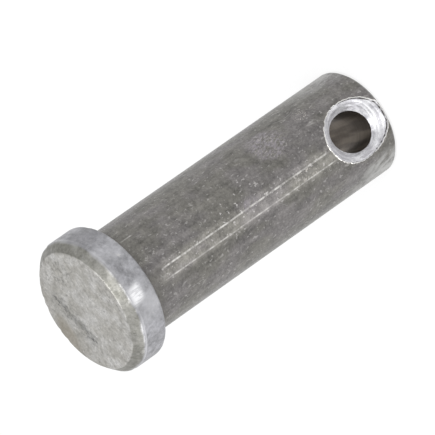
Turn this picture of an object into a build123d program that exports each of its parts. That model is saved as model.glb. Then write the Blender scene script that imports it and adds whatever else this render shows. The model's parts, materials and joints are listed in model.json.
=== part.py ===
from build123d import *
import os
from math import radians, tan

# A cold-headed steel clevis pin, turned, drilled and countersunk from one piece.
# It stands on its tip with the head up. +Z runs from the tip to the head, the origin is
# the middle of the tip's end face, and the cotter hole runs along Y. Sizes are in millimetres.

# Shank
shank_diameter = 12.6
shank_length = 37.0  # from the tip's end face to the seat under the head
tip_chamfer = 0.4

# Head
head_diameter = 16.1
head_height = 4.3
head_chamfer_width = 1.0
head_chamfer_height = 1.05
seat_fillet = 0.5  # in the corner between the shank and the seat under the head
seat_edge_round = 0.35
rim_edge_round = 0.3
face_edge_round = 0.25

# Cotter hole, drilled across the shank near the tip
cotter_hole_diameter = 4.7
cotter_hole_height = 4.0  # from the tip's end face to the hole's centre

# Countersinks at both mouths of the cotter hole, cut freehand, so a little off its centre
countersink_diameter = 8.4  # where the cone meets the plane that touches the shank
countersink_angle = 82.0  # between opposite sides of the cone
countersink_lift = 0.4  # the cone's centre lies this much nearer the head than the hole's
countersink_drift = 0.25  # and this much to the side, towards +X
cutter_overrun = 1.0  # how far the cutters run out past the surface of the shank

shank_radius = shank_diameter / 2
head_radius = head_diameter / 2
pin_length = shank_length + head_height


def headed_blank():
    """The shank and head as one body of revolution about Z."""
    corners = [
        (0, 0),
        (shank_radius - tip_chamfer, 0),
        (shank_radius, tip_chamfer),
        (shank_radius, shank_length),
        (head_radius, shank_length),
        (head_radius, pin_length - head_chamfer_height),
        (head_radius - head_chamfer_width, pin_length),
        (0, pin_length),
    ]
    rounds = [0, 0, seat_fillet, seat_edge_round, rim_edge_round, face_edge_round]
    with BuildPart() as blank:
        with BuildSketch(Plane.XZ):
            with BuildLine():
                FilletPolyline(*corners, radius=rounds)
                Line(corners[-1], corners[0])
            make_face()
        revolve(axis=Axis.Z)
    return blank.part


def cotter_drill():
    """A cylinder right through the shank along Y."""
    drill = Cylinder(cotter_hole_diameter / 2, shank_diameter + 2 * cutter_overrun)
    return Pos(0, 0, cotter_hole_height) * Rot(X=90) * drill


def front_countersink():
    """The cone that opens the hole's mouth on the -Y side. Its point lies inside the hole."""
    slope = tan(radians(countersink_angle / 2))
    depth = countersink_diameter / 2 / slope
    height = depth + cutter_overrun
    cone = Cone(0, height * slope, height, align=(Align.CENTER, Align.CENTER, Align.MIN))
    centre_height = cotter_hole_height + countersink_lift
    return Pos(countersink_drift, depth - shank_radius, centre_height) * Rot(X=90) * cone


def clevis_pin():
    """The finished pin: the blank, drilled across and countersunk on both sides."""
    front = front_countersink()
    back = mirror(front, about=Plane.XZ)
    pin = headed_blank() - cotter_drill() - front - back
    pin.label = "clevis_pin"
    return pin


os.makedirs("parts", exist_ok=True)
pin = clevis_pin()
export_step(pin, "parts/clevis_pin.step")
print("clevis_pin: volume", round(pin.volume, 1), "mm3, length", pin_length, "mm")
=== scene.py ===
# %% [markdown]
# # A cold-headed clevis pin
# A clevis pin is one short bar of steel: a head is hammered up cold in a die, the tip is drilled
# across for a cotter pin, and a countersink takes the sharp edge off the hole. This lesson loads
# the pin's construction model as a fixed frame and builds its looks on it: a dense mesh with the
# burr that the countersink left, and four steel finishes that are only nodes.

# %% Load the frame
import json
from math import atan2, cos, pi, radians, sin, tan

import bmesh
import bpy
import numpy as np
from mathutils import Matrix, Quaternion, Vector, noise


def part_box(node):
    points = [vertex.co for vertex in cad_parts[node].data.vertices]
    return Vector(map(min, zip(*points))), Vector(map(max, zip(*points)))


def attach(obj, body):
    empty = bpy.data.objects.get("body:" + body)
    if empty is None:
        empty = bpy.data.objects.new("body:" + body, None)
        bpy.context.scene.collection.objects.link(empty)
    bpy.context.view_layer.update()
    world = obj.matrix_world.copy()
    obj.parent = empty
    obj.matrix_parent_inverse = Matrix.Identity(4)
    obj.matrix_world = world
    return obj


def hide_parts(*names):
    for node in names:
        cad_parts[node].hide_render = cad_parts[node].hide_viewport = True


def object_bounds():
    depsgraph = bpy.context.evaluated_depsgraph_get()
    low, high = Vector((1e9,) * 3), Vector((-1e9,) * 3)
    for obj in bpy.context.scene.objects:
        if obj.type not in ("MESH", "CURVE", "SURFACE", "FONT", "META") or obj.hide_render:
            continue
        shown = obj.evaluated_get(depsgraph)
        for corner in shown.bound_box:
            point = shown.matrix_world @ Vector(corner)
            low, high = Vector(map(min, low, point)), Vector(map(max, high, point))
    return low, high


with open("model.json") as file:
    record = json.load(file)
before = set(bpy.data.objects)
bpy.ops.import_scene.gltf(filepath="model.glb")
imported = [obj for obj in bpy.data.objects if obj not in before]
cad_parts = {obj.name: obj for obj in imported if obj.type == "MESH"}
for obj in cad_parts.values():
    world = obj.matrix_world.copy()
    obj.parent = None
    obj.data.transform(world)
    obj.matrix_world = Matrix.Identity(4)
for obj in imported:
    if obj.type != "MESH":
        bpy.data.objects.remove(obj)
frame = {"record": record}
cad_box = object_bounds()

print("construction model:", [round(1000 * side, 2) for side in cad_box[1] - cad_box[0]], "mm")

# %% [markdown]
# ## Sizes
# Every size that the construction model records is read from it: the shank's and the hole's radius
# from the mounts, the outline from the box. The rest repeats the named sizes of the part's source.
# The mesh is drawn in millimetres and scaled to metres at the very end, so that a 0.1 mm burr
# is written as 0.1.

# %% Sizes in millimetres
METRE = 1000.0
low, high = (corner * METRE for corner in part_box("clevis_pin"))
mounts = {mount["name"]: mount for mount in frame["record"]["mounts"]}
shank_radius = mounts["shank"]["dims"]["r_mm"]
hole_radius = mounts["cotter_hole"]["dims"]["r_mm"]
hole_height = mounts["cotter_hole"]["pos_m"][2] * METRE
seat_height = mounts["head_seat"]["pos_m"][2] * METRE
pin_length = high.z - low.z
head_radius = (high.y - low.y) / 2
print("shank radius", shank_radius, "head radius", round(head_radius, 3), "length", pin_length)

tip_chamfer = 0.4
head_chamfer_width = 1.0
head_chamfer_height = 1.05
countersink_radius = 4.2
countersink_slope = tan(radians(41))
countersink_lift = 0.4
countersink_drift = 0.25

# %% [markdown]
# ## The camera
# The pin stands on its tip, head up. The camera looks down on the head from the front, through
# a long lens, and is rolled far over, so that the pin lies slantwise across the frame with the
# head at the lower left. The camera comes first, because every later choice is judged through it.

# %% Camera
azimuth, elevation, roll = radians(8.33), radians(30.1), radians(-125.06)
camera_distance = 0.6177
aim_right, aim_up = -0.0006, -0.00031
back = Vector((sin(azimuth) * cos(elevation), -cos(azimuth) * cos(elevation), sin(elevation)))
turn = (-back).to_track_quat("-Z", "Y") @ Quaternion((0, 0, 1), roll)
middle = (cad_box[0] + cad_box[1]) / 2

lens = bpy.data.cameras.new("camera")
lens.sensor_width = 36
lens.lens = 474.3
lens.clip_start, lens.clip_end = 0.01, 20
camera = bpy.data.objects.new("camera", lens)
camera.rotation_mode = "QUATERNION"
camera.rotation_quaternion = turn
camera.location = middle + back * camera_distance + turn @ Vector((aim_right, aim_up, 0))
bpy.context.scene.collection.objects.link(camera)
bpy.context.scene.camera = camera
print("camera at", [round(c, 3) for c in camera.location])

# %% [markdown]
# ## A small kit for nodes
# A finish is a long chain of nodes. Written one socket at a time it can't be read, so one small
# class wraps a socket and lets Python's own operators add the Math nodes: `1 - worn * 0.5` makes
# two of them. Everything else comes from one method that takes a node's type, its settings and
# its inputs.

# %% Wrapped sockets
class Value:
    """A number that varies over the surface. Python's operators on it add Math nodes."""

    def __init__(self, shader, socket):
        self.shader, self.socket = shader, socket

    def math(self, operation, *others):
        inputs = dict(enumerate((self, *others)))
        return self.shader.node("ShaderNodeMath", {"operation": operation}, inputs)

    def __add__(self, other):
        return self.math("ADD", other)

    def __mul__(self, other):
        return self.math("MULTIPLY", other)

    def __sub__(self, other):
        return self.math("SUBTRACT", other)

    def __rsub__(self, other):
        return self.shader.number(other).math("SUBTRACT", self)

    def __truediv__(self, other):
        return self.math("DIVIDE", other)

    def __abs__(self):
        return self.math("ABSOLUTE")

    __radd__, __rmul__ = __add__, __mul__

    def step(self, start, end):
        """0 where the value is at start, 1 where it is at end, and smooth between them."""
        settings = {"interpolation_type": "SMOOTHSTEP"}
        return self.shader.node("ShaderNodeMapRange", settings, {0: self, 1: start, 2: end})


class Shader:
    """One material, and short names for the nodes that the finishes use."""

    def __init__(self, name):
        self.material = bpy.data.materials.new(name)
        self.material.use_nodes = True
        self.tree = self.material.node_tree
        self.tree.nodes.clear()

    def node(self, kind, settings=None, inputs=None, output=0):
        made = self.tree.nodes.new(kind)
        for name, setting in (settings or {}).items():
            setattr(made, name, setting)
        for key, value in (inputs or {}).items():
            if isinstance(value, Value):
                self.tree.links.new(value.socket, made.inputs[key])
            else:
                made.inputs[key].default_value = value
        return Value(self, made.outputs[output])

    def number(self, amount):
        made = self.node("ShaderNodeValue")
        made.socket.default_value = amount
        return made

    def vector(self, operation, *vectors):
        settings = {"operation": operation}
        return self.node("ShaderNodeVectorMath", settings, dict(enumerate(vectors)))

    def blend(self, factor, first, second):
        """The first colour where factor is 0, the second where it is 1."""
        inputs = {0: factor, 6: first, 7: second}
        return self.node("ShaderNodeMix", {"data_type": "RGBA"}, inputs, output=2)

    def noise(self, where, scale, detail=2.0, roughness=0.5, distortion=0.0):
        inputs = {"Vector": where, "Scale": scale, "Detail": detail,
                  "Roughness": roughness, "Distortion": distortion}
        return self.node("ShaderNodeTexNoise", None, inputs)

    def attribute(self, name):
        return self.node("ShaderNodeAttribute", {"attribute_name": name}, output=2)

    def surface(self, shown):
        """Use a closure as the material's surface."""
        out = self.tree.nodes.new("ShaderNodeOutputMaterial")
        self.tree.links.new(shown.socket, out.inputs["Surface"])
        return self.material


def paint(red, green, blue):
    """A colour as it looks on a screen, from 0 to 255, as the linear colour that nodes take."""
    linear = [((c / 255 + 0.055) / 1.055) ** 2.4 for c in (red, green, blue)]
    return (*linear, 1.0)


print("node kit ready")

# %% [markdown]
# ## A plain studio
# The pin stands on a white sweep in an even light. Bare steel shows what is around it more than
# its own colour, so the room matters: one large soft lamp over the camera gives the bright side
# of the countersink and of the head's chamfer, and a fill lamp from the left leaves the right a
# little darker, which shades the far flank of the shank. The floor looks white to the camera and to
# the reflections, and still takes a soft shadow.

# %% Floor
floor_size = 4.0


def studio_floor():
    shader = Shader("white_sweep")
    paper = shader.node("ShaderNodeBsdfDiffuse", None, {"Color": paint(240, 240, 240)})
    glow = shader.node("ShaderNodeEmission", None, {"Color": (1, 1, 1, 1), "Strength": 1.05})
    lit_paper = shader.node("ShaderNodeMixShader", None, {0: 0.78, 1: paper, 2: glow})
    rays = shader.tree.nodes.new("ShaderNodeLightPath")
    seen = Value(shader, rays.outputs["Is Camera Ray"])
    shiny = Value(shader, rays.outputs["Is Glossy Ray"])
    clear = Value(shader, rays.outputs["Is Transmission Ray"])
    shown = seen.math("MAXIMUM", shiny).math("MAXIMUM", clear)
    shader.surface(shader.node("ShaderNodeMixShader", None, {0: shown, 1: paper, 2: lit_paper}))

    mesh = bpy.data.meshes.new("studio_floor")
    half = floor_size / 2
    corners = [(-half, -half, 0), (half, -half, 0), (half, half, 0), (-half, half, 0)]
    mesh.from_pydata(corners, [], [(0, 1, 2, 3)])
    mesh.materials.append(shader.material)
    floor = bpy.data.objects.new("studio_floor", mesh)
    bpy.context.scene.collection.objects.link(floor)
    floor.location.z = cad_box[0].z
    return floor


print("floor:", studio_floor().name)

# %% Lamps and room
def soft_lamp(name, direction, distance, size, power):
    """A square area lamp that faces the pin from a direction (azimuth, elevation) in degrees."""
    turned, raised = (radians(angle) for angle in direction)
    away = Vector((sin(turned) * cos(raised), -cos(turned) * cos(raised), sin(raised)))
    lamp = bpy.data.lights.new(name, "AREA")
    lamp.size, lamp.energy = size, power
    holder = bpy.data.objects.new(name, lamp)
    holder.location = middle + away * distance
    holder.rotation_mode = "QUATERNION"
    holder.rotation_quaternion = (-away).to_track_quat("-Z", "Y")
    bpy.context.scene.collection.objects.link(holder)
    return holder


soft_lamp("key_lamp", (10, 63), 0.6, 0.2, 1.5)
soft_lamp("left_fill", (-74, 20), 0.8, 0.4, 1.6)

room = bpy.data.worlds.new("studio_room")
room.use_nodes = True
bpy.context.scene.world = room
room.node_tree.nodes["Background"].inputs["Color"].default_value = (0.8, 0.8, 0.81, 1)

# %% [markdown]
# ## The outline that is spun
# Apart from its cross hole the pin is a body of revolution, so its mesh starts as an outline:
# radius against height, from the end face under the tip, up the shank and round the head. Each
# corner of a real pin is a little rounded, and those small arcs are what catches the light.

# %% Outline
ARC_STEPS = 4


def rounded(corners, radii):
    """The chain of corners with an arc in each inner one, as an array of (radius, height)."""
    path = [np.array(corners[0], float)]
    for before, corner, after, radius in zip(corners, corners[1:], corners[2:], radii):
        before, corner, after = (np.array(p, float) for p in (before, corner, after))
        into = (corner - before) / np.linalg.norm(corner - before)
        out = (after - corner) / np.linalg.norm(after - corner)
        turned = atan2(into[0] * out[1] - into[1] * out[0], into @ out)
        reach = radius * tan(abs(turned) / 2)
        side = np.array([-into[1], into[0]]) * (1 if turned > 0 else -1)
        centre = corner - into * reach + side * radius
        for swing in np.linspace(0, turned, ARC_STEPS + 1):
            spin = np.array([[cos(swing), -sin(swing)], [sin(swing), cos(swing)]])
            path.append(centre - spin @ side * radius)
    path.append(np.array(corners[-1], float))
    return np.array(path)


def evenly(path, spacing):
    """The same path with more points on its long straight runs."""
    steps = [path[:1]]
    for start, end in zip(path, path[1:]):
        count = max(1, round(float(np.linalg.norm(end - start)) / spacing))
        shares = np.linspace(0, 1, count + 1)[1:, None]
        steps.append(start + shares * (end - start))
    return np.concatenate(steps)


face_radius = 6.8
corners = [
    (shank_radius - tip_chamfer - 0.3, 0),
    (shank_radius - tip_chamfer, 0),
    (shank_radius, tip_chamfer),
    (shank_radius, seat_height),
    (head_radius, seat_height),
    (head_radius, pin_length - head_chamfer_height),
    (head_radius - head_chamfer_width, pin_length),
    (face_radius, pin_length),
]
radii = [0.12, 0.3, 0.5, 0.45, 0.4, 0.22]
row_spacing = 0.17
outline = evenly(rounded(corners, radii), row_spacing)
along = np.concatenate([[0], np.cumsum(np.linalg.norm(np.diff(outline, axis=0), axis=1))])
print("outline:", len(outline), "points over", round(along[-1], 2), "mm")

# %% [markdown]
# ## Where the countersink meets the skin
# A cone that cuts a round bar leaves a saddle-shaped mouth. Its edge has to be a clean line of
# vertices, because the burr sits on it, so it is worked out and not left to a boolean: for each
# direction round the cutter's axis, the code slides out along the cone until it leaves the bar.

# %% The mouth's edge and the foot of the cone
cone_depth = countersink_radius / countersink_slope
cone_height = hole_height + countersink_lift
tip_rows = outline[:, 1] < seat_height / 2


def radius_at(height):
    """The bar's own radius at a height near the tip."""
    rows = tip_rows & (outline[:, 0] > shank_radius - tip_chamfer)
    return np.interp(height, outline[rows, 1], outline[rows, 0])


def on_cone(direction, reach):
    """The point of the front cone that lies reach beyond its apex, in a direction round its axis."""
    x = countersink_drift + reach * countersink_slope * np.cos(direction)
    z = cone_height + reach * countersink_slope * np.sin(direction)
    y = cone_depth - shank_radius - reach
    return np.stack([x, y + 0 * x, z], axis=-1)


def mouth_reach(direction):
    """How far along the cone the skin of the bar is, found by halving."""
    near, far = np.zeros_like(direction), np.full_like(direction, 2 * cone_depth)
    for _ in range(40):
        reach = (near + far) / 2
        point = on_cone(direction, reach)
        inside = np.hypot(point[:, 0], point[:, 1]) < radius_at(point[:, 2])
        near, far = np.where(inside, reach, near), np.where(inside, far, reach)
    return far


def foot_reach(direction):
    """How far along the cone the wall of the drilled hole is."""
    offset = countersink_drift * np.cos(direction) + countersink_lift * np.sin(direction)
    apart = countersink_drift**2 + countersink_lift**2
    return (np.sqrt(offset**2 - apart + hole_radius**2) - offset) / countersink_slope


sample = np.linspace(0, 2 * pi, 720, endpoint=False)
edge = on_cone(sample, mouth_reach(sample))
print("mouth runs from", round(edge[:, 2].min(), 2), "to", round(edge[:, 2].max(), 2), "mm up")

# %% [markdown]
# ## One skin of four-sided faces
# The bar is laid out as a grid: columns round it and rows along the outline. Around each mouth a
# window is left in the grid, and rings of faces run from the window's frame to the mouth's edge,
# down the cone and through the hole. The rings crowd together at the edge, where the burr needs
# them. Where the mouth comes close to the tip, the rows under it are squeezed to make room.

# %% Columns, rows and the window round a mouth
COLUMNS = 256
WINDOW_COLUMNS = 32
window_bottom, window_top = tip_chamfer + 0.12, 10.0
low_gap, low_curve = 0.16, 0.13
step = 2 * pi / COLUMNS
first_row = int(np.argmax(outline[:, 1] > window_bottom))
top_row = int(np.argmax(outline[:, 1] > window_top))
mouth_low = on_cone(np.array([-pi / 2]), mouth_reach(np.array([-pi / 2])))[0]
low_along = np.interp(mouth_low[2], outline[1:first_row + 20, 1], along[1:first_row + 20])


def row_place(row, angle):
    """Distance along the outline of a row at an angle round the bar, squeezed under a mouth."""
    from_mouth = shank_radius * np.arcsin(np.clip(np.sin(angle), -1, 1)) - countersink_drift
    room = low_along - low_gap + low_curve * from_mouth**2
    squeeze = np.clip(room / along[first_row], 0, 1)
    low_part = along[np.minimum(row, first_row)] * squeeze
    opened = np.clip((row - first_row) / 12, 0, 1)
    blend = opened * opened * (3 - 2 * opened)
    return np.where(row <= first_row, low_part,
                    along[row] - (1 - blend) * along[first_row] * (1 - squeeze))


def on_bar(angle, place):
    """The point of the bar at an angle from the front, at a distance along the outline."""
    radius = np.interp(place, along, outline[:, 0])
    height = np.interp(place, along, outline[:, 1])
    return np.stack([radius * np.sin(angle), -radius * np.cos(angle), height], axis=-1)


def grid_of(columns, rows):
    """The bar's points on a grid of column and row numbers."""
    column, row = np.meshgrid(columns, rows)
    return on_bar(column * step, row_place(row, column * step))


print("window:", WINDOW_COLUMNS * 2, "columns by", top_row - first_row, "rows")

# %% Rings from the window's frame to the hole
RINGS, CONE_RINGS, WALL_RINGS = 18, 28, 24
RING_GROWTH, CONE_GROWTH = 1.13, 1.1


def window_frame():
    """Column and row numbers round the window, anticlockwise from its lower left corner."""
    w, rows = WINDOW_COLUMNS, np.arange(first_row, top_row + 1)
    bottom = [(c, first_row) for c in range(-w, w)]
    right = [(w, r) for r in rows[:-1]]
    top = [(c, top_row) for c in range(w, -w, -1)]
    left = [(-w, r) for r in rows[:0:-1]]
    return np.array(bottom + right + top + left)


def crowded(count, growth):
    """Shares from 0 to 1 whose steps grow by a factor, so that the first ones are the finest."""
    return (growth ** np.arange(count + 1) - 1) / (growth**count - 1)


frame_columns, frame_rows = window_frame().T
frame_angle = frame_columns * step
frame_place = row_place(frame_rows, frame_angle)
centre_place = np.interp(cone_height, outline[first_row:top_row, 1], along[first_row:top_row])
direction = np.arctan2(frame_place - centre_place, frame_angle * shank_radius - countersink_drift)
reach_out, reach_in = mouth_reach(direction), foot_reach(direction)
edge_points = on_cone(direction, reach_out)
edge_angle = np.arctan2(edge_points[:, 0], -edge_points[:, 1])
edge_place = np.interp(edge_points[:, 2], outline[1:top_row, 1], along[1:top_row])

skin_rings = np.array([
    on_bar(edge_angle + (frame_angle - edge_angle) * share,
           edge_place + (frame_place - edge_place) * share)
    for share in crowded(RINGS, RING_GROWTH)
])
skin_rings[0] = edge_points
cone_rings = np.array([
    on_cone(direction, reach_out + (reach_in - reach_out) * share)
    for share in crowded(CONE_RINGS, CONE_GROWTH)
])
print("rings of", len(direction), "faces:", RINGS, "on the skin,", CONE_RINGS, "on each cone")

# %% [markdown]
# ## The burr
# The countersink pushed a thin ragged lip of steel up and outwards round the mouth. It is a real
# ridge a tenth of a millimetre high, so it is built into the rings: the mouth's edge is lifted
# off the bar, the next rings follow less and less, and just inside it the cone dips into a fold
# under the lip. The fold gets painted shade, and the lip's crest a pale colour that is partly bare
# metal and partly a painted highlight. The lip isn't even. A short list of heights by direction,
# with noise on top, makes it stand up at one side and almost vanish at another.

# %% Lift the mouth's edge
LIP_HEIGHT = 0.15


def ragged(angle, pace, seed):
    """Smooth noise round a circle, about -1 to 1. A higher pace is a finer noise."""
    return np.array([noise.noise((pace * cos(a), pace * sin(a), seed)) for a in angle])


def lip_heights(seed):
    """The burr's height round the mouth, from 0 to 1, by direction."""
    turns = np.radians([-180, -150, -110, -70, -45, -15, 5, 30, 60, 100, 135, 180])
    heights = [0.35, 0.5, 0.85, 0.75, 1.0, 0.7, 0.3, 0.5, 0.6, 0.85, 0.45, 0.35]
    even = np.interp(direction, turns, heights)
    coarse, fine = ragged(direction, 2.5, seed), ragged(direction, 13.0, seed + 5)
    return np.clip(even * (1 + 0.5 * coarse) + 0.6 * fine, 0.06, 1.4)


def unit(vectors):
    return vectors / np.linalg.norm(vectors, axis=-1, keepdims=True)


cone_normal = unit(np.stack([-np.cos(direction), -countersink_slope + 0 * direction,
                             -np.sin(direction)], axis=-1))


def raise_burr(seed):
    """Skin and cone rings with the lip built in, and how bright and how shaded each point is."""
    height = lip_heights(seed)
    outward = unit(edge_points * (1, 1, 0))
    away = unit(skin_rings[3] - edge_points)
    lift, lean = LIP_HEIGHT * height, 0.08 * height + 0.10 * ragged(direction, 9.0, seed + 9)
    gap = np.linalg.norm(skin_rings - edge_points, axis=-1)[..., None]
    still = 1 - crowded(RINGS, RING_GROWTH)[:, None, None] ** 2
    near, wide = np.exp(-((gap / 0.085) ** 2)) * still, np.exp(-((gap / 0.25) ** 2)) * still
    skin = skin_rings + outward * lift[:, None] * near + away * lean[:, None] * wide

    gap_in = np.linalg.norm(cone_rings - edge_points, axis=-1)[..., None]
    near_in, wide_in = np.exp(-((gap_in / 0.035) ** 2)), np.exp(-((gap_in / 0.2) ** 2))
    # The fold is a real dip in the cone under the lip; its weight also sets the painted shade there.
    fold = np.exp(-(((gap_in - 0.14) / 0.075) ** 2)) * height[:, None]
    fold = fold * np.clip(gap_in / 0.04, 0, 1)
    cone = cone_rings + outward * lift[:, None] * near_in + away * lean[:, None] * wide_in
    cone = cone - cone_normal * 0.06 * fold
    # How much of the lip's pale colour each point gets: bare metal with a painted highlight on the
    # crest.
    bright = np.exp(-((gap / 0.06) ** 2)) * height[:, None]
    bright_in = np.exp(-((gap_in / 0.045) ** 2)) * height[:, None]
    return skin, cone, bright[..., 0], bright_in[..., 0], fold[..., 0]


print("lip stands up to", round(LIP_HEIGHT * float(lip_heights(3.0).max()), 3), "mm")

# %% [markdown]
# ## The chattering cutter
# A countersink in a hand-fed drill shakes, and leaves rings and a few flats instead of a true
# cone. The rings are moved along the cone's own normal by a few hundredths of a millimetre, which
# is enough to break up its reflections. The foot of the cone, where it meets the drilled wall,
# gets small chips.

# %% Rings and flats on the cone
wall_share = np.linspace(1, -1, WALL_RINGS + 1)


def chattered(cone, seed):
    """The cone's rings, shaken along their normal. The edge at the mouth stays where it is."""
    depth = np.linalg.norm(cone - cone[0], axis=-1)
    rise = np.clip(depth / 0.35, 0, 1)
    rest = np.clip((depth[-1] - depth) / 0.2, 0, 1)
    flats = 0.035 * np.sin(5 * direction + 1.3 + 0.8 * depth) * (0.6 + ragged(direction, 1.2, seed))
    waves = 0.010 * np.sin(depth * 2 * pi / 0.55 + 2.5 * ragged(direction, 1.5, seed + 2))
    return cone + cone_normal * ((flats + waves) * rise * rest)[..., None]


def chipped_foot(seed):
    """How far the foot of the cone is broken back along the wall, in millimetres."""
    return 0.15 * np.clip(ragged(direction, 9.0, seed) - 0.15, 0, 1)


def mouth_of(side, seed):
    """All rings of one mouth: the skin round it and the cone, with their brightness and shade."""
    skin, cone, bright, bright_in, fold = raise_burr(seed)
    cone = chattered(cone, seed)
    chips = chipped_foot(seed + 4)
    for ring, share in ((-1, 1.0), (-2, 0.45)):
        cone[ring, :, 1] += chips * share
    return skin * side, cone * side, bright, bright_in, fold


front = mouth_of(np.array([1, 1, 1]), 3.0)
rear = mouth_of(np.array([1, -1, 1]), 41.0)
wall_rings = np.array([
    front[1][-1] * (1 + share) / 2 + rear[1][-1] * (1 - share) / 2 for share in wall_share
])
print("drilled wall:", round(float(np.ptp(wall_rings[:, :, 1])), 2), "mm long at most")

# %% [markdown]
# ## Round end faces without a pole
# A disc made of thin triangles that meet in a point shades badly. A square grid that is bent into
# a circle has faces of one size everywhere, and its rim has as many corners as the bar has columns.

# %% End faces
def disc(radius, height):
    """A square grid bent into a disc. Its rim meets the bar's columns."""
    cells = COLUMNS // 4
    u, v = np.meshgrid(np.linspace(-1, 1, cells + 1), np.linspace(-1, 1, cells + 1))
    ring = np.maximum(np.abs(u), np.abs(v))
    wide = np.abs(u) >= np.abs(v)
    with np.errstate(divide="ignore", invalid="ignore"):
        angle = np.where(wide, v / u, u / v) * pi / 4
    angle = np.nan_to_num(np.where(wide, angle + (u < 0) * pi, pi / 2 - angle + (v < 0) * pi))
    x, y = radius * ring * np.cos(angle), radius * ring * np.sin(angle)
    return np.stack([x, y, np.full_like(x, height)], axis=-1)


tip_disc = disc(outline[0, 0], outline[0, 1])
face_disc = disc(outline[-1, 0], outline[-1, 1])
print("end faces:", tip_disc.shape[0] - 1, "cells across")

# %% [markdown]
# ## Weld and sort
# All the grids meet in equal points, so they are put in one mesh and welded. Each face keeps a
# number for its finish: the drawn skin of the shank, the struck head, the freshly cut cones and
# the drilled wall. Each vertex keeps how much of the lip's pale colour, partly a painted highlight,
# and of the painted shade in the fold it gets.

# %% Join the grids
SHANK, HEAD, CONE, WALL = range(4)


def all_grids():
    """Every grid of the pin, as (points, closed round, finish, lip, fold)."""
    right = np.arange(WINDOW_COLUMNS, COLUMNS // 2 - WINDOW_COLUMNS + 1)
    left = right + COLUMNS // 2
    around = np.arange(COLUMNS)
    head_row = int(np.argmax(outline[:, 1] >= seat_height - 0.02))
    yield tip_disc, False, SHANK, None, None
    yield grid_of(around, np.arange(first_row + 1)), True, SHANK, None, None
    yield grid_of(right, np.arange(first_row, top_row + 1)), False, SHANK, None, None
    yield grid_of(left, np.arange(first_row, top_row + 1)), False, SHANK, None, None
    yield grid_of(around, np.arange(top_row, head_row + 1)), True, SHANK, None, None
    yield grid_of(around, np.arange(head_row, len(outline))), True, HEAD, None, None
    yield face_disc, False, HEAD, None, None
    for skin, cone, bright, bright_in, fold in (front, rear):
        yield skin, True, SHANK, bright, None
        yield cone, True, CONE, bright_in, fold
    yield wall_rings, True, WALL, None, None


def build_skin():
    """All grids in one welded mesh, in millimetres, with a finish number on each face."""
    shape = bmesh.new()
    lip_layer = shape.verts.layers.float.new("lip")
    fold_layer = shape.verts.layers.float.new("fold")
    for points, closed, finish, lip, fold in all_grids():
        rows, columns = points.shape[:2]
        made = [[shape.verts.new(point) for point in row] for row in points]
        for r in range(rows):
            for c in range(columns):
                made[r][c][lip_layer] = 0.0 if lip is None else float(lip[r, c])
                made[r][c][fold_layer] = 0.0 if fold is None else float(fold[r, c])
        for r in range(rows - 1):
            for c in range(columns if closed else columns - 1):
                d = (c + 1) % columns
                quad = shape.faces.new((made[r][c], made[r][d], made[r + 1][d], made[r + 1][c]))
                quad.material_index = finish
    bmesh.ops.remove_doubles(shape, verts=shape.verts, dist=0.0004)
    bmesh.ops.recalc_face_normals(shape, faces=shape.faces)
    return shape


skin = build_skin()
loose = sum(1 for e in skin.edges if len(e.link_faces) != 2)
print("skin:", len(skin.faces), "faces, open edges:", loose)

# %% [markdown]
# ## Dents and knocks
# The pin was struck into shape, tumbled and thrown in a bin. The head's edges carry small knocks,
# its face is not quite flat, and the shank waves by a hundredth of a millimetre along its length.
# A dent is a soft dip about a seeded point. Dents only go inwards, so the pin keeps its size.

# %% Scatter the knocks
chance = np.random.default_rng(20240)
face_edge_radius = head_radius - head_chamfer_width
rim_edge_height = pin_length - head_chamfer_height


def knocks(count, radius, height, spread, width, depth):
    """Seeded dips on a ring round the pin, as rows of x, y, z, width and depth."""
    angle = chance.uniform(0, 2 * pi, count)
    r = radius + chance.uniform(-spread, spread, count)
    z = height + chance.uniform(-spread, spread, count) * 0.5
    size = chance.uniform(*width, count)
    deep = chance.uniform(*depth, count)
    return np.stack([r * np.sin(angle), -r * np.cos(angle), z, size, deep], axis=1)


def scattered(count, width, depth):
    """Seeded dips all over the face of the head."""
    angle, r = chance.uniform(0, 2 * pi, count), 6.6 * np.sqrt(chance.uniform(0, 1, count))
    z = np.full(count, pin_length)
    size, deep = chance.uniform(*width, count), chance.uniform(*depth, count)
    return np.stack([r * np.sin(angle), -r * np.cos(angle), z, size, deep], axis=1)


head_dips = np.concatenate([
    knocks(26, head_radius, rim_edge_height, 0.05, (0.3, 0.75), (0.03, 0.09)),
    knocks(22, face_edge_radius, pin_length, 0.05, (0.3, 0.8), (0.03, 0.09)),
    knocks(16, head_radius, seat_height + 0.2, 0.05, (0.3, 0.7), (0.03, 0.08)),
    scattered(60, (0.3, 0.9), (0.008, 0.035)),
])
shank_dips = np.concatenate([
    knocks(6, shank_radius, height, 2.0, (0.3, 0.9), (0.012, 0.035)) for height in range(3, 36, 4)
])
shank_dips[:, :2] *= shank_radius / np.hypot(shank_dips[:, :1], shank_dips[:, 1:2])
print("knocks:", len(head_dips), "on the head,", len(shank_dips), "on the shank")

# %% Press them in
crease_start, crease_end = Vector((3.1, 4.4)), Vector((-4.1, 1.35))


def dip_at(point, dips):
    """How deep the dips are at a point."""
    gap = np.sqrt(((dips[:, :3] - point) ** 2).sum(axis=1)) / dips[:, 3]
    return float((dips[:, 4] * np.clip(1 - gap**2, 0, 1) ** 2).sum())


def crease_at(x, y):
    """1 on the folded line in the head's face, 0 away from it."""
    run = crease_end - crease_start
    share = (Vector((x, y)) - crease_start).dot(run) / run.length_squared
    if not 0 < share < 1:
        return 0.0
    nearest = crease_start + run * share
    bend = 0.16 * noise.noise((share * 5, 0.3, 0.7))
    off = (x - nearest.x) * run.y / run.length - (y - nearest.y) * run.x / run.length - bend
    return max(0.0, 1 - (off / 0.3) ** 2) * min(1, 6 * share, 6 * (1 - share))


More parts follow.
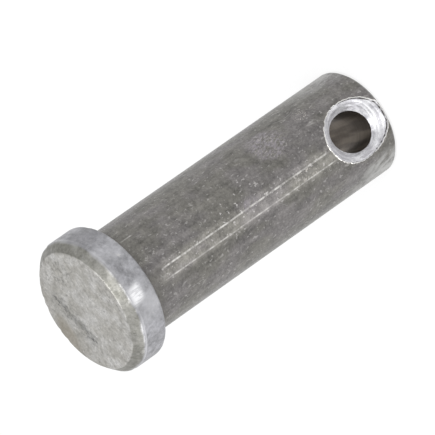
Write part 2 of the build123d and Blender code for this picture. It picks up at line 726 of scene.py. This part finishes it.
def press_dents(shape):
    """Move the welded skin inwards by its dips and waves."""
    for vertex in shape.verts:
        x, y, z = vertex.co
        r = (x * x + y * y) ** 0.5
        spot = np.array([x, y, z])
        if z > seat_height + 0.05:
            sink = dip_at(spot, head_dips)
            wave = 0.5 + 0.5 * noise.noise((x * 0.4, y * 0.4, z * 0.4))
            if r < face_edge_radius + 0.3 and z > pin_length - 0.3:
                vertex.co.z -= sink + 0.03 * wave + 0.05 * crease_at(x, y)
            else:
                towards = Vector((-x, -y, (seat_height + 1.5 - z) * 0.6)).normalized()
                vertex.co += towards * (sink + 0.012 * wave)
        elif r > shank_radius - 0.3 and z < seat_height - 0.6:
            share = min(1, (r - shank_radius + 0.3) / 0.2)
            wave = 0.012 * noise.noise((x * 0.25, y * 0.25, z * 0.06))
            ripple = 0.004 * noise.noise((x * 1.3, y * 1.3, z * 0.3))
            push = (wave + ripple - dip_at(spot, shank_dips)) * share / r
            vertex.co.x += x * push
            vertex.co.y += y * push


press_dents(skin)
print("top is at", round(max(v.co.z for v in skin.verts), 3), "mm")

# %% [markdown]
# ## Finished mesh
# Smooth shading hides the faces, and edges that turn sharply, such as the corner between the cone
# and the drilled wall, are kept crisp.

# %% Make the object
mesh = bpy.data.meshes.new("clevis_pin_dressed")
skin.to_mesh(mesh)
skin.free()
mesh.transform(Matrix.Scale(1 / METRE, 4))
mesh.shade_smooth()
mesh.set_sharp_from_angle(angle=radians(35))
dressed = bpy.data.objects.new("clevis_pin_dressed", mesh)
bpy.context.scene.collection.objects.link(dressed)
print(mesh.name, "has", sum(len(p.vertices) - 2 for p in mesh.polygons), "triangles")

# %% [markdown]
# ## Where on the pin a mark is
# Marks on a bar are placed the way a maker would mark it out: by angle round it and by height.
# So each finish starts from the position in millimetres, and from three readings of it: the
# distance from the axis, the length of arc from the front, and the height.

# %% Readings shared by the finishes
class Place:
    """Position on the pin, in millimetres, for one material."""

    def __init__(self, shader):
        coordinates = shader.node("ShaderNodeTexCoord", output=3)
        self.shader = shader
        self.point = shader.vector("MULTIPLY", coordinates, (METRE, METRE, METRE))
        self.x, self.y, self.z = (
            shader.node("ShaderNodeSeparateXYZ", None, {0: self.point}, output=axis)
            for axis in range(3)
        )
        self.r = (self.x * self.x + self.y * self.y).math("SQRT")
        self.angle = self.x.math("ARCTAN2", self.y * -1)
        self.degrees = self.angle * (180 / pi)
        self.arc = self.angle * shank_radius

    def stretched(self, x, y, z):
        """The position with its axes scaled. A small factor makes a long texture."""
        return self.shader.vector("MULTIPLY", self.point, (x, y, z))

    def turned(self, axis, degrees, x, y, z):
        """The position turned about an axis and then scaled, for marks that run slantwise."""
        inputs = {"Vector": self.point, "Axis": axis, "Angle": radians(degrees)}
        spun = self.shader.node("ShaderNodeVectorRotate", None, inputs)
        return self.shader.vector("MULTIPLY", spun, (x, y, z))

    def patch(self, degrees, height, half_width, half_height):
        """1 inside a soft oval on the shank, 0 outside."""
        across = (self.arc - radians(degrees) * shank_radius) / half_width
        up = (self.z - height) / half_height
        return (across * across + up * up).step(1.0, 0.15)


def hairlines(shader, where, scale, width, cover):
    """Thin wandering lines where a stretched noise passes its middle, on part of the surface."""
    line = abs(shader.noise(where, scale, detail=1.0) - 0.5).step(width, width * 0.3)
    broken = shader.noise(where, scale * 3.1, detail=1.0).step(1 - cover, 1 - cover + 0.08)
    return line * broken


def scaled(shader, colour, amount):
    """A colour made lighter or darker by a factor."""
    return shader.node("ShaderNodeVectorMath", {"operation": "SCALE"}, {0: colour, 3: amount})


def finish(shader, inputs, height):
    """A Principled surface whose bump height is in millimetres."""
    bump = shader.node("ShaderNodeBump", None,
                       {"Height": height, "Distance": 1 / METRE, "Strength": 1.0})
    return shader.surface(shader.node("ShaderNodeBsdfPrincipled", None, {**inputs, "Normal": bump}))


print("marking-out helpers ready")

# %% [markdown]
# ## The drawn skin
# Cold-drawn bar is pulled through a die, so its marks run lengthwise: faint streaks, and two long
# scored lines where a grain of grit sat in the die, with a painted highlight along them. Over them
# lies a thin grey-brown film of drawing compound, rubbed thin in patches, and the small scratches
# of handling. The metal and the film are the same everywhere. Only tint, roughness and a bump of
# some microns change; the tint also carries painted shade under the head and a painted highlight
# on the burr's lip.

# %% Shank finish
def scored_line(place, degrees, start, end, half_width, seed):
    """A line along the bar at an angle, between two heights, that fades in places."""
    shader = place.shader
    wander = (shader.noise(place.stretched(0, 0, 0.35), 1.0) - 0.5) * 0.12
    off = abs(place.arc - radians(degrees) * shank_radius + wander)
    along_it = shader.node("ShaderNodeCombineXYZ", None, {0: seed, 2: place.z})
    broken = shader.noise(along_it, 0.9, detail=5.0, roughness=0.75).step(0.40, 0.64)
    ends = place.z.step(start, start + 0.8) * place.z.step(end, end - 0.8)
    return off.step(half_width, half_width * 0.25) * ends * (broken * 0.8 + 0.2)


def drawn_steel():
    shader = Shader("drawn_steel")
    place = Place(shader)
    cloud = shader.noise(place.stretched(1, 1, 0.5), 0.42, detail=3.0)
    olive, mauve = paint(116, 114, 109), paint(121, 118, 117)
    colour = shader.blend(cloud.step(0.40, 0.62), olive, mauve)

    grain = shader.noise(place.point, 3.4, detail=4.0, roughness=0.75)
    streak = shader.noise(place.stretched(1.4, 1.4, 0.07), 1.0, detail=3.0, roughness=0.6)
    mottle = shader.noise(place.point, 0.8, detail=2.0)
    tone = 1 + (grain - 0.5) * 1.4 + (streak - 0.5) * 0.9 + (mottle - 0.5) * 0.9
    colour = scaled(shader, colour, tone)

    land = abs(place.degrees + 5.0).step(13.0, 6.5)
    land = land * place.z.step(6.5, 9.0) * place.z.step(36.0, 33.0)
    colour = scaled(shader, colour, 1 + land * 0.42 * (mottle * 1.2 + 0.4))
    flecks = shader.noise(place.stretched(1.6, 1.6, 1.1), 1.9, detail=2.0).step(0.62, 0.70)
    cluster = place.patch(13, 22.0, 2.4, 4.0) + place.patch(-4, 19.5, 1.2, 2.5)
    flecks = flecks * (0.35 + land * 0.45 + cluster * 0.6)
    colour = shader.blend(flecks.math("MINIMUM", 1), colour, paint(200, 197, 195))

    scuff = place.patch(42, 14.2, 2.6, 2.9) + place.patch(2, 20.8, 1.0, 1.6) * 0.7
    scuff = scuff.math("MINIMUM", 1)
    brushed = shader.noise(place.turned((0, 1, 0.4), 40, 3.0, 3.0, 0.8), 1.3, detail=4.0)
    lightened = scuff * brushed.step(0.36, 0.64)
    colour = shader.blend(lightened * 0.55, colour, paint(166, 160, 168))
    hatch = hairlines(shader, place.turned((0.3, 1, 0.2), 48, 1.8, 1.8, 0.5), 1.6, 0.035, 0.52)
    ticked = place.patch(-6, 12.7, 1.1, 2.6) + place.patch(48, 8.5, 1.1, 1.3)
    ticks = hatch * (ticked + land * 0.25 + scuff * 0.6)
    colour = shader.blend(ticks.math("MINIMUM", 1) * 0.8, colour, paint(205, 200, 193))

    leaning = place.turned((1, 0.2, 0), 24, 1.0, 1.0, 0.03)
    crossing = place.turned((0, 1, 0), -40, 1.0, 1.0, 0.03)
    scratch = hairlines(shader, leaning, 0.5, 0.010, 0.42)
    scratch = scratch + hairlines(shader, crossing, 0.5, 0.008, 0.40)
    colour = shader.blend(scratch.math("MINIMUM", 1) * 0.35, colour, paint(180, 178, 175))

    # Lighter in noisy patches on two flanks near the tip.
    tip_side = abs(place.degrees + 56).step(26, 8) + abs(place.degrees - 82).step(30, 6) * 0.7
    tip_side = tip_side * place.z.step(9.0, 2.0)
    tip_patches = shader.noise(place.turned((0, 1, 0), 35, 0.9, 0.9, 0.3), 1.2, detail=4.0, roughness=0.7)
    tip_side = tip_side * tip_patches.step(0.30, 0.62)
    colour = shader.blend(tip_side, colour, paint(176, 176, 174))
    # Painted shade on the shank just under the head.
    shade = place.z.step(seat_height - 2.2, seat_height - 0.4)
    colour = shader.blend(shade * 0.5, colour, paint(90, 88, 84))

    # The scored lines get a bump, less roughness and a pale colour; the pale colour is a painted
    # highlight along them.
    lines = scored_line(place, -0.7, 9.0, 34.3, 0.14, 1.0)
    lines = lines + scored_line(place, -12.1, 8.2, 34.8, 0.11, 7.0) * 0.8
    lines = lines + scored_line(place, -36, 29.7, 31.8, 0.07, 3.0) * 0.5
    lines = lines + scored_line(place, 45.5, 34.0, 36.0, 0.12, 2.0)
    lines = lines.math("MINIMUM", 1)
    colour = shader.blend(lines, colour, paint(224, 222, 218))
    # The burr's lip is painted pale: bare metal with a painted highlight on its crest.
    lip = shader.attribute("lip").step(0.1, 0.4)
    colour = shader.blend(lip, colour, paint(240, 238, 233))

    roughness = 0.48 - (grain - 0.5) * 0.3 - lines * 0.2 - lip * 0.2 - land * 0.05
    height = grain * 0.010 + streak * 0.012 + lines * 0.010 - scratch * 0.006 + flecks * 0.004
    inputs = {"Base Color": colour, "Metallic": 0.92, "Roughness": roughness,
              "Coat Weight": 0.3, "Coat Roughness": 0.25}
    return finish(shader, inputs, height)


print("shank finish: film, streaks, lines and scratches")

# %% [markdown]
# ## The struck head
# The head was upset in a die, so its face is peened matt and pale, its chamfer keeps the darker
# skin of the die, and its rim has been rolled smooth. Its edges are worn lighter in places. The rim
# also gets painted highlights, in two bands, along its upper edge and on a burnished rub, and
# painted shade on one flank.

# %% Head finish
def struck_steel():
    shader = Shader("struck_steel")
    place = Place(shader)
    wobble = (shader.noise(place.point, 0.35, detail=2.0) - 0.5) * 0.4
    on_face = (place.z + wobble * 0.5).step(pin_length - 0.16, pin_length - 0.03)
    on_rim = (place.z + wobble).step(rim_edge_height + 0.15, rim_edge_height - 0.08)

    grain = shader.noise(place.point, 2.4, detail=4.0, roughness=0.7)
    mottle = shader.noise(place.point, 0.55, detail=3.0, roughness=0.6)
    face = shader.blend(mottle.step(0.36, 0.66), paint(181, 179, 173), paint(198, 197, 194))
    face = shader.blend(place.y.step(1.0, 6.5) * 0.5, face, paint(158, 155, 147))
    chamfer = shader.blend(mottle.step(0.35, 0.65), paint(134, 133, 126), paint(145, 144, 139))
    rim = shader.blend(mottle.step(0.34, 0.66), paint(150, 150, 153), paint(168, 168, 172))
    colour = shader.blend(on_rim, chamfer, rim)
    colour = shader.blend(on_face, colour, face)
    blotch = shader.noise(place.point, 1.1, detail=4.0, roughness=0.65)
    tone = 1 + (grain - 0.5) * 1.1 + (blotch - 0.5) * 0.7
    colour = scaled(shader, colour, tone)

    pits = shader.noise(place.point, 2.1, detail=4.0, roughness=0.7).step(0.40, 0.30) * on_face
    colour = shader.blend(pits * 0.55, colour, paint(108, 108, 104))
    bright = shader.noise(place.point, 1.5, detail=2.0).step(0.68, 0.78)
    colour = shader.blend(bright * 0.5, colour, paint(215, 213, 210))

    edge = place.r - head_radius
    drop = place.z - rim_edge_height
    rim_edge = (edge * edge + drop * drop).math("SQRT").step(0.42, 0.12)
    wear_and_highlight_noise = shader.noise(place.point, 0.45, detail=1.0).step(0.35, 0.65)
    colour = shader.blend(rim_edge * wear_and_highlight_noise * 0.55, colour, paint(190, 190, 192))

    degrees = place.degrees
    # Painted highlight along the rim's upper edge, on one side only.
    edge_highlight = abs(place.z - rim_edge_height + 0.22 + wobble * 0.3).step(0.14, 0.03)
    edge_highlight = edge_highlight * abs(degrees + 44).step(34, 14)
    colour = shader.blend(edge_highlight * 0.6, colour, paint(206, 206, 209))
    # A burnished rub on the rim, painted near white: partly wear, partly a painted highlight.
    over_spot = place.z - 39.4
    spot = abs(degrees + 3.0 + over_spot * 2).step(9.5, 3.0) * abs(over_spot).step(1.15, 0.35)
    hatch = hairlines(shader, place.stretched(1.3, 1.3, 0.12), 2.4, 0.05, 0.7)
    burnish_and_highlight = spot * (1 - hatch * 0.45)
    # Painted highlight in two bands round the rim, broken up by noise.
    lightened = abs(degrees + 13).step(24, 4) * 0.62 + abs(degrees - 37).step(13, 3) * 0.45
    lightened = lightened * on_rim * wear_and_highlight_noise.step(-0.6, 0.8)
    colour = shader.blend(lightened, colour, paint(196, 196, 199))
    # Painted shade on one flank of the rim, about 62 degrees round from the front.
    far_flank_shade = abs(degrees - 62).step(18, 5) * on_rim
    colour = shader.blend(far_flank_shade * 0.5, colour, paint(128, 127, 130))
    # The burnished rub goes on last, with its painted highlight.
    colour = shader.blend(burnish_and_highlight, colour, paint(243, 243, 245))

    run = crease_end - crease_start
    along_x, along_y = run.x / run.length, run.y / run.length
    from_x, from_y = place.x - crease_start.x, place.y - crease_start.y
    share = (from_x * along_x + from_y * along_y) / run.length
    bend = (shader.noise(place.stretched(0.6, 0.6, 0), 1.0, detail=4.0, roughness=0.7) - 0.5) * 1.3
    off = abs(from_x * along_y - from_y * along_x - bend)
    within = share.step(-0.02, 0.1) * share.step(1.05, 0.9) * on_face
    broken = shader.noise(place.point, 1.6, detail=3.0).step(0.40, 0.58)
    crease = off.step(0.26, 0.04) * within * broken
    stain = off.step(1.1, 0.2) * within * mottle.step(0.35, 0.6)
    colour = shader.blend(stain * 0.45, colour, paint(138, 138, 135))
    near_pits = shader.noise(place.point, 2.8, detail=3.0).step(0.50, 0.38)
    crazed = abs(shader.noise(place.point, 1.2, detail=5.0, roughness=0.7) - 0.5).step(0.02, 0.004)
    crazed = crazed * blotch.step(0.46, 0.6) * on_face
    colour = shader.blend(crazed * 0.4, colour, paint(128, 127, 124))
    colour = shader.blend(near_pits * off.step(1.5, 0.3) * within * 0.6, colour, paint(112, 112, 110))
    cluster_x, cluster_y = (place.x - 4.9) / 2.0, (place.y - 0.5) / 2.2
    cluster = (cluster_x * cluster_x + cluster_y * cluster_y).step(1.0, 0.3) * on_face
    colour = shader.blend(near_pits * cluster * 0.6, colour, paint(116, 115, 110))
    colour = shader.blend(crease * 0.8, colour, paint(98, 98, 97))
    away_x, away_y = (place.x + 1.8) / 2.6, (place.y - 5.7) / 1.4
    brown = (away_x * away_x + away_y * away_y).step(1.2, 0.1) * on_face
    colour = shader.blend(brown * 0.45, colour, paint(140, 130, 110))

    roughness = 0.52 - burnish_and_highlight * 0.22 - rim_edge * 0.08 - (grain - 0.5) * 0.2
    height = grain * 0.012 - pits * 0.02 - crease * 0.04 + mottle * 0.02 + hatch * spot * 0.01
    inputs = {"Base Color": colour, "Metallic": 0.88, "Roughness": roughness,
              "Coat Weight": 0.2, "Coat Roughness": 0.35}
    return finish(shader, inputs, height)


print("head finish: face, chamfer and rim")

# %% [markdown]
# ## Fresh cuts
# The countersink cut through the skin into clean bright steel. Its rings and the tears between
# them run round the cutter's axis, so this finish is written in distance from that axis. The
# upper half of the cone is painted lighter. The drilled wall behind it is painted dark brown, as
# painted shade inside the hole.

# %% Cone and wall finish
def cut_steel():
    shader = Shader("cut_steel")
    place = Place(shader)
    across, up = place.x - countersink_drift, place.z - cone_height
    radius = (across * across + up * up).math("SQRT")
    turn_about = up.math("ARCTAN2", across)
    rings_at = shader.node("ShaderNodeCombineXYZ", None,
                           {0: radius * 4.0, 1: turn_about.math("SINE") * 0.7, 2: 0.3})
    rings = shader.noise(rings_at, 1.0, detail=4.0, roughness=0.65)
    torn_at = shader.node("ShaderNodeCombineXYZ", None,
                          {0: radius * 2.2, 1: across * 0.9, 2: up * 0.9})
    torn = shader.noise(torn_at, 0.9, detail=4.0, roughness=0.7)
    grain = shader.noise(place.point, 4.0, detail=3.0, roughness=0.7)

    colour = shader.blend(torn.step(0.38, 0.62), paint(186, 185, 189), paint(222, 222, 224))
    tone = 1 + (rings - 0.5) * 1.7 + (grain - 0.5) * 0.6
    colour = scaled(shader, colour, tone)
    stain = shader.noise(place.point, 1.3, detail=3.0).step(0.34, 0.26)
    colour = shader.blend(stain * 0.5, colour, paint(120, 118, 120))
    # Painted shade in the fold under the lip.
    fold = shader.attribute("fold").step(0.25, 0.75)
    colour = shader.blend(fold, colour, paint(62, 57, 52))
    # The lip's edge on the cone is painted pale: bare metal with a painted highlight.
    lip = shader.attribute("lip").step(0.2, 0.6)
    colour = shader.blend(lip, colour, paint(240, 238, 233))

    # Painted light: the upper half of the cone, which faces down, is painted lighter. It is also made
    # rougher and less metallic.
    upper_cone = up.step(-1.6, 1.2)
    colour = shader.blend(upper_cone * 0.75, colour, scaled(shader, colour, 1.12))
    roughness = 0.42 - (torn - 0.5) * 0.3 + fold * 0.2 + upper_cone * 0.15
    metallic = 0.6 - upper_cone * 0.42
    height = rings * 0.05 + torn * 0.03 + grain * 0.008
    inputs = {"Base Color": colour, "Metallic": metallic, "Roughness": roughness}
    return finish(shader, inputs, height)


def drilled_steel():
    shader = Shader("drilled_steel")
    place = Place(shader)
    feed_at = shader.node("ShaderNodeCombineXYZ", None,
                          {0: place.y * 3.0 + place.x * 0.15, 1: place.z * 0.3, 2: place.x * 0.2})
    feed = shader.noise(feed_at, 1.0, detail=3.0, roughness=0.6)
    wall_patches = shader.noise(place.stretched(0.7, 0.12, 0.7), 1.0, detail=3.0)
    # The wall is painted dark brown in two tones, as painted shade inside the hole.
    colour = shader.blend(wall_patches.step(0.38, 0.62), paint(76, 68, 60), paint(124, 115, 104))
    colour = scaled(shader, colour, 1 + (feed - 0.5) * 0.5)
    roughness = 0.34 + (wall_patches - 0.5) * 0.3
    inputs = {"Base Color": colour, "Metallic": 0.85, "Roughness": roughness}
    return finish(shader, inputs, feed * 0.02)


for material in (drawn_steel(), struck_steel(), cut_steel(), drilled_steel()):
    mesh.materials.append(material)
print("finishes:", [m.name for m in mesh.materials])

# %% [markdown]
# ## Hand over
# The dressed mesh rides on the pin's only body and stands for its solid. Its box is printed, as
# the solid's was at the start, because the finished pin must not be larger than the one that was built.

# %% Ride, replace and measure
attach(dressed, "root")
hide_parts("clevis_pin")

bpy.context.scene.view_settings.view_transform = "Standard"
bpy.context.view_layer.update()
reach = [METRE * Vector(corner) for corner in dressed.bound_box]
print("dressed pin:", [round(max(c[i] for c in reach) - min(c[i] for c in reach), 3) for i in range(3)])
